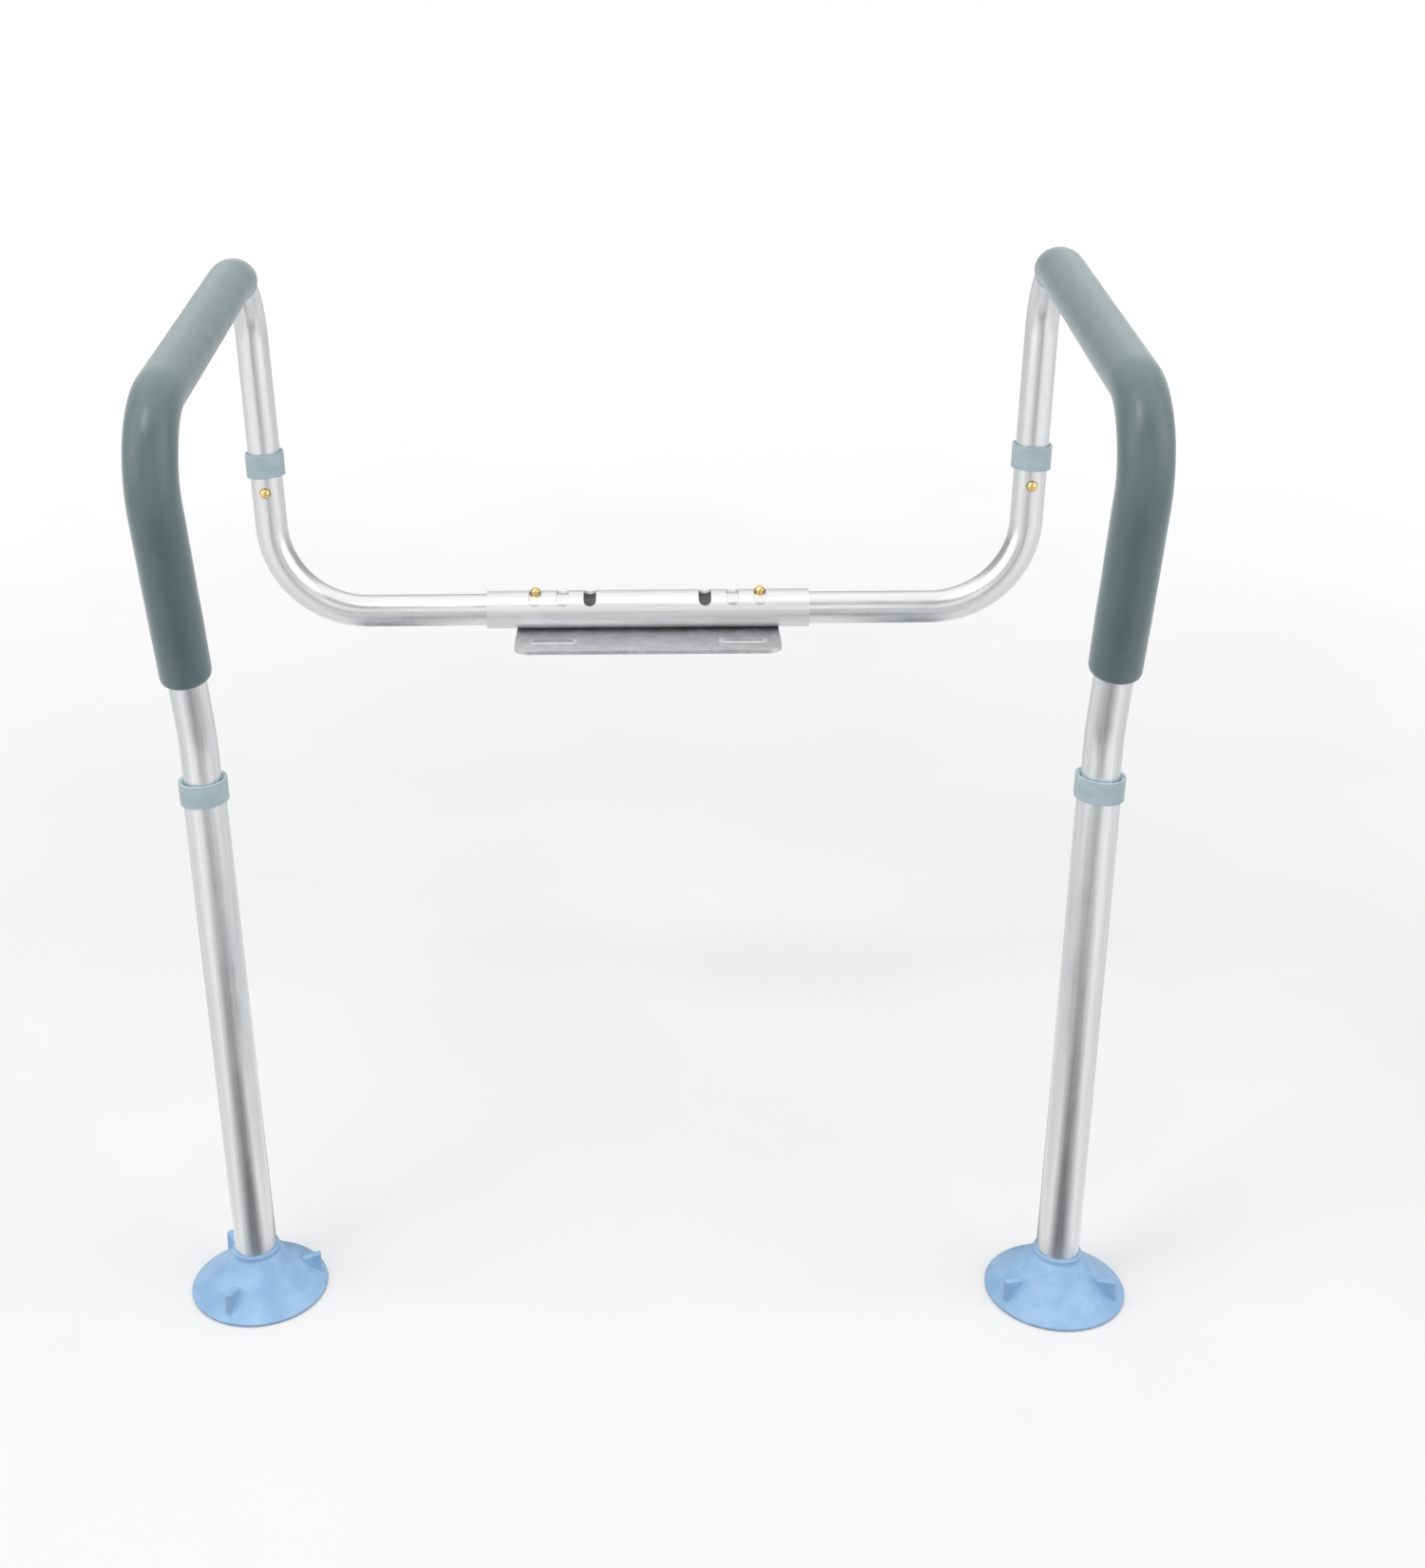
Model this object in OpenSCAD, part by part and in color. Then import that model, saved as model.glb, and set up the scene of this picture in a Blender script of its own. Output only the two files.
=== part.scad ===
// Toilet safety frame: two bent-tube arms that plug into a crossbar behind the seat and stand
// on suction feet in front. X runs from left to right, Y from front (-) to back (+), Z up.
// The origin is on the floor, in the middle of the whole frame's length and width.
// Each arm lies in one flat plane, tipped outward at the top, and is built in its own frame:
// origin where the lower bow meets the crossbar's axis, Z up the rear post.

/* [Frame] */
// Height of the crossbar's axis above the floor, with the legs fully in
bar_z = 392; // [370:2:420]
// Distance from the middle to each rear post, at the crossbar's height
post_x = 297; // [285:1:315]
// Outward tip of each arm's plane, in degrees
flare = 3; // [0:0.5:4]
// Height of the armrest's rear corner point above the crossbar
arm_rise = 287; // [260:1:320]
// Length of the armrest between its two corner points
arm_reach = 370; // [330:5:420]
// Downward slope of the armrest towards the front, in degrees
arm_slope = 7; // [0:1:10]
// Length of the raked front section, from the front corner point to the jog
front_run = 234; // [215:1:260]
// Rake of the front section back down towards the toilet, in degrees
front_rake = 14; // [8:1:20]

/* [Bends] */
// Centre-line radius of the armrest's two corners
arm_bend = 55; // [45:1:65]
// Centre-line radius of the jog above the leg
jog_bend = 100; // [80:5:140]
// Centre-line radius of the lower bow
bow_bend = 75; // [60:1:85]

/* [Tubes] */
// Outside diameter of the arm tube and the lower bow
arm_od = 25.4; // [24:0.2:26]
// Wall of the arm tube and the lower bow
arm_wall = 1.3; // [1:0.1:1.6]
// Wall of the lower leg tube
leg_wall = 1.5; // [1.2:0.1:2]
// Wall of the crossbar
bar_wall = 2.3; // [1.6:0.1:3]
// Length of the crossbar
bar_length = 258; // [250:2:280]

/* [Adjustment] */
// Distance between two neighbouring width slots
width_pitch = 22; // [18:1:22]
// Distance from the middle to the outermost width slot
width_slot_x = 90; // [88:1:94]
// Distance between two neighbouring leg holes
leg_pitch = 25; // [20:1:25]
// Number of leg holes
leg_holes = 5; // [3:1:5]

/* [Grip and collars] */
// Outside diameter of the foam grip
grip_od = 35.4; // [32:0.2:38]
// Part of the rear corner that the grip covers, in degrees
grip_wrap = 30; // [10:5:60]
// Distance from the grip's lower end to the jog
grip_to_jog = 48; // [36:1:60]
// Height of the rear collars
rear_collar_h = 19; // [14:1:22]
// Height of the leg collars
leg_collar_h = 15; // [13:1:20]
// Distance from the jog down to the middle of the leg collar
collar_drop = 36; // [32:1:44]

/* [Feet] */
// Diameter of a suction foot's rim
foot_d = 95; // [86:1:110]

/* [Seat bracket] */
// Nominal distance between the two seat bolts
seat_bolt_gap = 150; // [140:5:160]
// Full length of each seat bolt slot
seat_slot_length = 40; // [20:2:44]
// Width of each seat bolt slot
seat_slot_width = 11; // [8:0.5:12]
// Thickness of the bracket's plate
bracket_t = 3; // [2:0.5:4]

/* [Hidden] */
$fn = 96;
slip = 0.1;                                    // radial clearance of a tube sliding in a tube
hug = 0.05;                                    // radial gap of a part held tight on another
cut = 1;                                       // how far a cutter runs past the face it cuts
band = 2;                                      // length of the band at each end of a bend
seam = 0.02;                                   // how far that band stands proud of the tube

arm_r = arm_od / 2;
arm_bore = arm_r - arm_wall;
sleeve_bore = arm_r + slip;                    // bore of every tube that the arm or bow slides in
leg_r = sleeve_bore + leg_wall;
bar_r = sleeve_bore + bar_wall;
curl = 80;                                     // how far the seat bracket's back edge curls up

// Lower bow
bow_turn = 90 - flare;
bow_tangent = bow_bend * tan(bow_turn / 2);
bow_inner_x = width_slot_x - 33;               // inner end, inside the crossbar
bow_top = 124;                                 // upper end of the bow, on the rear post's axis
bow_path = [[post_x - bow_tangent - bow_inner_x, bow_turn, bow_bend, -90],
            [bow_top - bow_tangent, 0, 0, 0]];

// Arm tube, from the necked plug in the lower bow to its end inside the leg
plug_r = arm_bore - slip;
plug_bore = plug_r - arm_wall;
plug_z = bow_top - 47;
neck_h = 3;                                    // length of the taper above the plug
neck_z = bow_top + 0.5;
rear_turn = 90 + arm_slope;
front_turn = 90 + front_rake - arm_slope;
rear_tangent = arm_bend * tan(rear_turn / 2);
front_tangent = arm_bend * tan(front_turn / 2);
jog_tangent = jog_bend * tan(front_rake / 2);
front_straight = front_run - front_tangent - jog_tangent;

// Front and back of the whole frame, from the crossbar's axis, and that axis from the origin
front_y = -(arm_reach - front_tangent) * cos(arm_slope) - arm_bend * (1 - sin(arm_slope)) - grip_od / 2;
back_y = (bar_r + hug + bracket_t) * sin(curl);
bar_y = -(front_y + back_y) / 2;
jog_y = -arm_reach * cos(arm_slope) + front_run * sin(front_rake);
jog_z = arm_rise - arm_reach * sin(arm_slope) - front_run * cos(front_rake);

// Leg, in the arm's own frame
collar_lip = 3;                                // the leg collar's lip, above the leg tube's end
leg_top = jog_z - collar_drop + leg_collar_h / 2 - collar_lip;
floor_z = -bar_z / cos(flare);                 // where the leg's axis meets the floor
socket_floor = 5.5;                            // rubber under the leg tube, along the leg's axis
washer_t = 1.5;
leg_end = floor_z + socket_floor + washer_t;
leg_button_z = leg_top - 65 - (leg_holes - 1) * leg_pitch;
arm_end = leg_button_z - 25;

post_length = arm_rise - rear_tangent - neck_z - neck_h;
arm_path = [[post_length, rear_turn, arm_bend, 0],
            [arm_reach - rear_tangent - front_tangent, front_turn, arm_bend, 0],
            [front_straight, front_rake, jog_bend, 180],
            [jog_z - jog_tangent - arm_end, 0, 0, 0]];
grip_start = [post_length, rear_turn - grip_wrap, arm_bend, 0];
grip_path = [[0, grip_wrap, arm_bend, 0],
             [arm_reach - rear_tangent - front_tangent, front_turn, arm_bend, 0],
             [front_run - front_tangent - grip_to_jog, 0, 0, 0]];

// Snap buttons and their spring clips
post_button_z = bow_top - 22;
button_r = 4;
button_lift = 3.2;                             // how far the dome stands out of the outer tube
dome_r = 4.6;
flange_r = 4.75;
flange_h = 1.2;
tail_r = 1.8;
tail_head_r = 2.8;
tail_head_h = 0.9;
hole_r = button_r + 0.3;
clip_t = 0.8;
clip_w = 8;
clip_length = 34;                              // from the button to the clip's bend
clip_bend = 3.2;
slot_from = 45;                                // width slots run round the bar, from its front...
slot_to = 108;                                 // ...to just behind its top, in degrees
slot_w = 10;

// Collars and feet
rear_collar_r = arm_r + 2.7;
leg_collar_r = leg_r + 2;
neck_r = leg_r + 2.1;
neck_top = 31.5;
foot_r = foot_d / 2;
fin_gap = 120;

// Seat bracket
bracket_length = seat_bolt_gap + seat_slot_length + 20;
bracket_reach = 58;                            // from the crossbar's axis to the front edge
seat_slot_y = -35;
bracket_corner = 12;
rivet_x = 7;
rivet_r = 2.4;
rivet_head_r = 4.6;
rivet_bulb_r = 3.5;
rivet_rim = 0.4;                               // straight edge of the countersunk head
rivet_sink = 2.2;                              // depth of the countersink
plate_z = bar_z - bar_r - hug - bracket_t;     // underside of the bracket's plate

// ---- Bent tubes. A path is a list of [straight length, bend angle, bend radius, roll] steps,
// followed from the origin along Z. A bend turns towards -Y, rolled about the path by roll.

module bend_frame(step) {
    rotate([0, 0, step[3]])
        translate([0, -step[2], 0])
            children();
}

module step_end(step) {
    translate([0, 0, step[0]])
        bend_frame(step)
            rotate([step[1], 0, 0])
                translate([0, step[2], 0])
                    rotate([0, 0, -step[3]])
                        children();
}

// A tube along a path. Straights stop just short of each bend and a thin band bridges the gap,
// so that no two pieces meet face to face.
module tube(path, r_out, r_in, i = 0) {
    step = path[i];
    after_bend = i > 0;
    before_bend = step[1] > 0;
    trim = band / 4;
    if (step[0] > 0)
        translate([0, 0, after_bend ? trim : 0])
            ring(r_out, r_in, step[0] - (after_bend ? trim : 0) - (before_bend ? trim : 0));
    if (before_bend) {
        translate([0, 0, step[0]])
            bend_frame(step)
                rotate([0, 90, 0])
                    rotate([0, 0, 90])
                        rotate_extrude(angle = step[1])
                            translate([step[2], 0])
                                difference() {
                                    circle(r = r_out);
                                    circle(r = r_in);
                                }
        if (step[0] > 0)
            translate([0, 0, step[0]])
                bridge(r_out, r_in);
        step_end(step) {
            bridge(r_out, r_in);
            tube(path, r_out, r_in, i + 1);
        }
    }
}

module bridge(r_out, r_in) {
    translate([0, 0, -band / 2])
        ring(r_out + seam, r_in - seam, band);
}

module ring(r_out, r_in, h) {
    difference() {
        cylinder(r = r_out, h = h);
        translate([0, 0, -cut])
            cylinder(r = r_in, h = h + 2 * cut);
    }
}

// ---- Places. side is 1 for the right arm and -1 for the left, which is its mirror image.

module on_side(side) {
    if (side > 0)
        children();
    else
        mirror([1, 0, 0])
            children();
}

module arm_frame() {
    translate([post_x, bar_y, bar_z])
        rotate([0, flare, 0])
            children();
}

// Each button place has Z out through the button's hole and X along the tube, towards its clip
module width_button_place() {
    translate([width_slot_x, bar_y, bar_z])
        children();
}

module post_button_place() {
    arm_frame()
        translate([0, 0, post_button_z])
            rotate([90, 0, 0])
                rotate([0, 0, 90])
                    children();
}

module leg_button_place() {
    arm_frame()
        translate([0, jog_y, leg_button_z])
            rotate([-90, 0, 0])
                rotate([0, 0, -90])
                    children();
}

module leg_foot_place() {
    arm_frame()
        translate([0, jog_y, floor_z])
            children();
}

// ---- Crossbar and bracket

// One slot through the crossbar's wall, round its axis from the front over the top
module width_slot(x) {
    depth = bar_wall + 2 * cut;
    inner = sleeve_bore - cut;
    translate([x, bar_y, bar_z]) {
        rotate([0, 90, 0])
            rotate([0, 0, -90 - slot_to])
                rotate_extrude(angle = slot_to - slot_from)
                    translate([inner, -slot_w / 2])
                        square([depth, slot_w]);
        for (a = [slot_from, slot_to])
            rotate([90 - a, 0, 0])
                translate([0, 0, inner])
                    cylinder(r = slot_w / 2 + seam, h = depth);
    }
}

module crossbar_tube() {
    color("gainsboro")
        difference() {
            translate([-bar_length / 2, bar_y, bar_z])
                rotate([0, 90, 0])
                    ring(bar_r, sleeve_bore, bar_length);
            for (side = [-1, 1], i = [0:2])
                width_slot(side * (width_slot_x - i * width_pitch));
            rivet_holes();
        }
}

// Through the plate, where they are countersunk from below, and the crossbar's wall
module rivet_holes() {
    hole_top = bracket_t + hug + bar_wall + 2 * cut;
    for (x = [-rivet_x, rivet_x])
        translate([x, bar_y, plate_z])
            rotate_extrude()
                polygon([[0, -cut], [rivet_head_r + hug, -cut], [rivet_head_r + hug, rivet_rim],
                         [rivet_r + hug, rivet_sink], [rivet_r + hug, hole_top], [0, hole_top]]);
}

module seat_slot(x) {
    half = (seat_slot_length - seat_slot_width) / 2;
    translate([x, seat_slot_y]) {
        square([2 * half, seat_slot_width], center = true);
        for (end = [-half, half])
            translate([end, 0])
                circle(r = seat_slot_width / 2);
    }
}

module bracket_outline() {
    half = bracket_length / 2;
    translate([-half, bracket_corner - bracket_reach])
        square([bracket_length, bracket_reach - bracket_corner]);
    translate([bracket_corner - half, -bracket_reach])
        square([bracket_length - 2 * bracket_corner, bracket_corner * 1.5]);
    for (side = [-1, 1])
        translate([side * (half - bracket_corner), bracket_corner - bracket_reach])
            circle(r = bracket_corner);
}

// A flat plate under the seat hinges, its back edge curled up behind the crossbar
module seat_bracket() {
    color("silver")
        difference() {
            union() {
                translate([0, bar_y, plate_z])
                    linear_extrude(bracket_t)
                        difference() {
                            bracket_outline();
                            for (side = [-1, 1])
                                seat_slot(side * seat_bolt_gap / 2);
                        }
                translate([0, bar_y, bar_z])
                    rotate([0, 90, 0])
                        rotate_extrude(angle = curl)
                            translate([bar_r + hug, -bracket_length / 2])
                                square([bracket_t, bracket_length]);
            }
            rivet_holes();
        }
}

// Flush heads in the plate's underside, set heads inside the crossbar
module bracket_rivets() {
    flush = 0.1;                               // how far the head lies inside the plate
    bulb_z = bracket_t + bar_wall + 0.9;
    bulb_h = 2.4;
    color("darkgray")
        for (x = [-rivet_x, rivet_x])
            translate([x, bar_y, plate_z])
                rotate_extrude()
                    polygon([[0, flush], [rivet_head_r, flush], [rivet_head_r, rivet_rim],
                             [rivet_r, rivet_sink - hug], [rivet_r, bulb_z],
                             [rivet_bulb_r, bulb_z], [rivet_bulb_r, bulb_z + bulb_h],
                             [0, bulb_z + bulb_h]]);
}

// ---- Arm

module lower_bow(side) {
    color("gainsboro")
        on_side(side)
            difference() {
                translate([bow_inner_x, bar_y, bar_z])
                    rotate([0, 90, 0])
                        tube(bow_path, arm_r, arm_bore);
                width_button_place()
                    cylinder(r = hole_r, h = arm_r + cut);
                post_button_place()
                    cylinder(r = hole_r, h = arm_r + cut);
            }
}

// From the bottom: necked plug, taper, then the bent length
module arm_tube(side) {
    color("gainsboro")
        on_side(side)
            difference() {
                arm_frame() {
                    translate([0, 0, plug_z])
                        ring(plug_r, plug_bore, neck_z - plug_z);
                    translate([0, 0, neck_z])
                        difference() {
                            cylinder(r1 = plug_r, r2 = arm_r, h = neck_h);
                            cylinder(r1 = plug_bore, r2 = arm_bore, h = neck_h);
                        }
                    translate([0, 0, neck_z + neck_h])
                        tube(arm_path, arm_r, arm_bore);
                }
                post_button_place()
                    cylinder(r = hole_r, h = arm_r + cut);
                leg_button_place()
                    cylinder(r = hole_r, h = arm_r + cut);
            }
}

module arm_grip(side) {
    color("darkslategray")
        on_side(side)
            arm_frame()
                translate([0, 0, neck_z + neck_h])
                    step_end(grip_start)
                        tube(grip_path, grip_od / 2, arm_r + slip);
}

// A moulded ring over the joint of post and bow, open and eased at its top
module rear_collar(side) {
    ease = 2;
    color("lightsteelblue")
        on_side(side)
            arm_frame()
                translate([0, 0, bow_top - rear_collar_h / 2])
                    difference() {
                        ring(rear_collar_r, arm_r + hug, rear_collar_h);
                        translate([0, 0, rear_collar_h - ease])
                            cylinder(r1 = arm_r + hug, r2 = arm_r + 1.3, h = ease + 0.01);
                    }
}

// ---- Snap buttons. bore is the radius inside the tube that holds the clip, outer_r the
// outside radius of the tube that the dome stands out of.

function flange_seat(bore) = sqrt(bore * bore - flange_r * flange_r) - 0.1;
function clip_top(bore) = flange_seat(bore) - flange_h - hug;
function clip_foot(bore) = sqrt(bore * bore - clip_w * clip_w / 4) - 0.1;

module snap_button(bore, outer_r) {
    seat = flange_seat(bore);
    tip = outer_r + button_lift;
    tail_z = clip_top(bore) - clip_t - hug;
    color("goldenrod") {
        translate([0, 0, seat - flange_h])
            cylinder(r = flange_r, h = flange_h);
        difference() {
            translate([0, 0, seat - flange_h / 2])
                cylinder(r = button_r, h = tip - seat + flange_h / 2 + cut);
            rotate_extrude()
                difference() {
                    translate([0, tip - dome_r])
                        square([button_r + cut, dome_r + 2 * cut]);
                    translate([0, tip - dome_r])
                        circle(r = dome_r);
                }
        }
        translate([0, 0, tail_z - tail_head_h / 2])
            cylinder(r = tail_r, h = seat - tail_z);
        translate([0, 0, tail_z - tail_head_h])
            cylinder(r = tail_head_r, h = tail_head_h);
    }
}

function leaf_angle(top) = atan((top - clip_bend) / (clip_length - clip_w));

// One leaf of the clip, as an outline: a flat pad, then a slope down into the bend
module clip_leaf(top) {
    a = leaf_angle(top);
    into = 0.5;                                // how far the leaf runs on inside the bend
    outer = clip_bend + clip_t / 2;
    inner = clip_bend - clip_t / 2;
    polygon([[-6, top], [clip_w, top],
             [clip_length + outer * sin(a) + into * cos(a), outer * cos(a) - into * sin(a)],
             [clip_length + inner * sin(a) + into * cos(a), inner * cos(a) - into * sin(a)],
             [clip_w, top - clip_t], [-6, top - clip_t]]);
}

// A bent strip: the upper leaf carries the button, the lower one bears on the far wall
module spring_clip(bore) {
    upper = leaf_angle(clip_top(bore));
    lower = leaf_angle(clip_foot(bore));
    bend_t = clip_t + 0.12;
    color("lightgray")
        difference() {
            translate([0, clip_w / 2, 0])
                rotate([90, 0, 0]) {
                    linear_extrude(clip_w) {
                        clip_leaf(clip_top(bore));
                        mirror([0, 1])
                            clip_leaf(clip_foot(bore));
                    }
                    translate([clip_length, 0, 0])
                        rotate([0, 0, lower - 90])
                            rotate_extrude(angle = 180 - lower - upper)
                                translate([clip_bend - bend_t / 2, 0])
                                    square([bend_t, clip_w]);
                }
            cylinder(r = tail_r + 0.2, h = bore);
        }
}

module width_button(side) {
    on_side(side)
        width_button_place()
            snap_button(arm_bore, bar_r);
}

module width_clip(side) {
    on_side(side)
        width_button_place()
            spring_clip(arm_bore);
}

module post_button(side) {
    on_side(side)
        post_button_place()
            snap_button(plug_bore, arm_r);
}

module post_clip(side) {
    on_side(side)
        post_button_place()
            spring_clip(plug_bore);
}

module leg_button(side) {
    on_side(side)
        leg_button_place()
            snap_button(arm_bore, leg_r);
}

module leg_clip(side) {
    on_side(side)
        leg_button_place()
            spring_clip(arm_bore);
}

// ---- Leg

module leg_tube(side) {
    color("gainsboro")
        on_side(side)
            difference() {
                arm_frame()
                    translate([0, jog_y, leg_end])
                        ring(leg_r, sleeve_bore, leg_top - leg_end);
                for (i = [0:leg_holes - 1])
                    arm_frame()
                        translate([0, jog_y, leg_button_z + i * leg_pitch])
                            rotate([-90, 0, 0])
                                cylinder(r = hole_r, h = leg_r + cut);
            }
}

// Fits over the leg tube's end, with a lip inward to the arm tube that slides through it
module leg_collar(side) {
    skirt = leg_collar_h - collar_lip;
    ease = 1.2;
    color("lightsteelblue")
        on_side(side)
            arm_frame()
                translate([0, jog_y, leg_top - skirt])
                    difference() {
                        ring(leg_collar_r, sleeve_bore, leg_collar_h);
                        translate([0, 0, -cut])
                            cylinder(r = leg_r + hug, h = skirt + cut + hug);
                        translate([0, 0, leg_collar_h - ease])
                            cylinder(r1 = sleeve_bore, r2 = sleeve_bore + 1.4, h = ease + 0.01);
                    }
}

// Half section of the suction cup: rim on the floor, bell-shaped top, hollow underside
module cup_section() {
    rim = 1.2;
    polygon([[0, 2], [17, 2], [19, 10], [23, 12], [foot_r - 7.5, 2.2], [foot_r - 5.5, 0],
             [foot_r - rim, 0], [foot_r, rim], [foot_r, 2.4],
             [27, 17.5], [23, 21], [20, 24.5], [neck_r - 1, 28], [0, 28]]);
}

// Upright pull tab on the cup, standing along a radius
module fin() {
    fin_t = 5;
    fin_in = foot_r - 18;
    fin_out = foot_r - 4.5;
    inner_top = 18;
    outer_top = 20.5;
    rotate([90, 0, 0])
        translate([0, 0, -fin_t / 2])
            linear_extrude(fin_t)
                polygon([[fin_in, 11.5], [fin_out, 3.2], [fin_out, outer_top], [fin_in, inner_top]]);
}

module foot(side) {
    turn = side > 0 ? 90 : 50;                 // the feet are pushed on at any turn
    color("lightskyblue")
        on_side(side)
            difference() {
                union() {
                    translate([post_x - bar_z * tan(flare), bar_y + jog_y, 0]) {
                        rotate_extrude()
                            cup_section();
                        for (i = [0:2])
                            rotate([0, 0, turn + i * fin_gap])
                                fin();
                    }
                    leg_foot_place()
                        translate([0, 0, 8])
                            cylinder(r = neck_r, h = neck_top - 8);
                }
                leg_foot_place()
                    translate([0, 0, socket_floor])
                        cylinder(r = leg_r + hug, h = neck_top);
            }
}

module foot_washer(side) {
    color("silver")
        on_side(side)
            leg_foot_place()
                translate([0, 0, socket_floor])
                    ring(leg_r - hug, 4.2, washer_t);
}

crossbar_tube();
seat_bracket();
bracket_rivets();
lower_bow(-1);  // left_lower_bow
arm_tube(-1);  // left_arm_tube
arm_grip(-1);  // left_arm_grip
rear_collar(-1);  // left_rear_collar
width_button(-1);  // left_width_button
width_clip(-1);  // left_width_clip
post_button(-1);  // left_post_button
post_clip(-1);  // left_post_clip
leg_button(-1);  // left_leg_button
leg_clip(-1);  // left_leg_clip
leg_tube(-1);  // left_leg_tube
leg_collar(-1);  // left_leg_collar
foot(-1);  // left_foot
foot_washer(-1);  // left_foot_washer
lower_bow(1);  // right_lower_bow
arm_tube(1);  // right_arm_tube
arm_grip(1);  // right_arm_grip
rear_collar(1);  // right_rear_collar
width_button(1);  // right_width_button
width_clip(1);  // right_width_clip
post_button(1);  // right_post_button
post_clip(1);  // right_post_clip
leg_button(1);  // right_leg_button
leg_clip(1);  // right_leg_clip
leg_tube(1);  // right_leg_tube
leg_collar(1);  // right_leg_collar
foot(1);  // right_foot
foot_washer(1);  // right_foot_washer
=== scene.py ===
"""Looks of the toilet safety frame.

The foam grips and rubber feet get their own meshes, the spring clips get copies of their own, and
every CAD node gets a material. A studio and a camera follow. Lengths are in metres. Pieces of the
right arm are built, and the left ones are their mirror images.
"""

from math import cos, pi, radians, sin, tau

import bpy
import numpy as np
from mathutils import Matrix, Vector, noise


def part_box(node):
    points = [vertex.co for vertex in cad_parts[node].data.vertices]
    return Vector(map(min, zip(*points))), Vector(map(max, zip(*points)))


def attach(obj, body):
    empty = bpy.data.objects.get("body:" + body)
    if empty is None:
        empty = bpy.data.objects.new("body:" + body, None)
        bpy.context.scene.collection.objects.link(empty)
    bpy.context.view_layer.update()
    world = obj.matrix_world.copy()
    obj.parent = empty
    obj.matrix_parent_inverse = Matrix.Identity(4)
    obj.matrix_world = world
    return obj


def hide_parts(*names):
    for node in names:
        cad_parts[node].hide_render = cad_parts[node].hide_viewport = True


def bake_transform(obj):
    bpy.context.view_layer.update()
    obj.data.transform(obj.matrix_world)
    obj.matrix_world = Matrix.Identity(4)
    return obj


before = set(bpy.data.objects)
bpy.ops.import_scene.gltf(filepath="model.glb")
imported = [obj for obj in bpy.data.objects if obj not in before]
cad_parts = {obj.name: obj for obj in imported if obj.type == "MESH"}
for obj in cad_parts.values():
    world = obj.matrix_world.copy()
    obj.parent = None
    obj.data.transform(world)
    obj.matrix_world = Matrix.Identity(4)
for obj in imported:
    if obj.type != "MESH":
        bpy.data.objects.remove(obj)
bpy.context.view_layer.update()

MM = 0.001

# ---- Sizes of the frame, as the CAD has them. The crossbar's axis runs along X at BAR_Y and BAR_Z.

bar_low, bar_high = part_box("crossbar_tube")
BAR_Y = (bar_low.y + bar_high.y) / 2
BAR_Z = 0.392
POST_X = 0.297
FLARE = radians(3)
ARM_RISE = 0.287
ARM_REACH = 0.370
ARM_SLOPE = radians(7)
FRONT_RUN = 0.234
FRONT_RAKE = radians(14)
ARM_BEND = 0.055
JOG_BEND = 0.100
BOW_BEND = 0.075
LEG_R = 0.0143
GRIP_R = 0.0177
GRIP_BORE = 0.0128
GRIP_WRAP = radians(30)
GRIP_TO_JOG = 0.048
BOW_TOP = 0.124
BOW_INNER_X = 0.057
NECK_TOP = BOW_TOP + 0.0035
FOOT_R = 0.0475

REAR_TURN = pi / 2 + ARM_SLOPE
FRONT_TURN = pi / 2 + FRONT_RAKE - ARM_SLOPE
BOW_TURN = pi / 2 - FLARE


def tangent(radius, turn):
    """Length that a bend takes off the straight on each side of its corner point."""
    return radius * sin(turn / 2) / cos(turn / 2)


REAR_TANGENT = tangent(ARM_BEND, REAR_TURN)
FRONT_TANGENT = tangent(ARM_BEND, FRONT_TURN)
JOG_TANGENT = tangent(JOG_BEND, FRONT_RAKE)
BOW_TANGENT = tangent(BOW_BEND, BOW_TURN)
POST_LENGTH = ARM_RISE - REAR_TANGENT - NECK_TOP
ARMREST_LENGTH = ARM_REACH - REAR_TANGENT - FRONT_TANGENT
FOOT_X = POST_X - BAR_Z * sin(FLARE) / cos(FLARE)
JOG_Y = -ARM_REACH * cos(ARM_SLOPE) + FRONT_RUN * sin(FRONT_RAKE)

# A path is a list of (straight, turn, bend radius, roll) steps that starts along Z
ARM_PATH = [(POST_LENGTH, REAR_TURN, ARM_BEND, 0),
            (ARMREST_LENGTH, FRONT_TURN, ARM_BEND, 0),
            (FRONT_RUN - FRONT_TANGENT - JOG_TANGENT, FRONT_RAKE, JOG_BEND, pi),
            (0.5, 0, 0, 0)]
BOW_PATH = [(POST_X - BOW_TANGENT - BOW_INNER_X, BOW_TURN, BOW_BEND, -pi / 2),
            (BOW_TOP - BOW_TANGENT, 0, 0, 0)]
GRIP_LEAD = (POST_LENGTH, REAR_TURN - GRIP_WRAP, ARM_BEND, 0)
GRIP_PATH = [(0, GRIP_WRAP, ARM_BEND, 0),
             (ARMREST_LENGTH, FRONT_TURN, ARM_BEND, 0),
             (FRONT_RUN - FRONT_TANGENT - GRIP_TO_JOG, 0, 0, 0)]

ARM_FRAME = Matrix.Translation((POST_X, BAR_Y, BAR_Z)) @ Matrix.Rotation(FLARE, 4, "Y")
MIRROR = Matrix.Scale(-1, 4, (1, 0, 0))
SIDES = (("right", Matrix.Identity(4)), ("left", MIRROR))


# ---- Paths of the bent tubes

def bend_matrix(step, turned):
    """The move from a step's start to a point part of the way round its bend."""
    straight, _, radius, roll = step
    return (Matrix.Translation((0, 0, straight)) @ Matrix.Rotation(roll, 4, "Z")
            @ Matrix.Translation((0, -radius, 0)) @ Matrix.Rotation(turned, 4, "X")
            @ Matrix.Translation((0, radius, 0)) @ Matrix.Rotation(-roll, 4, "Z"))


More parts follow.
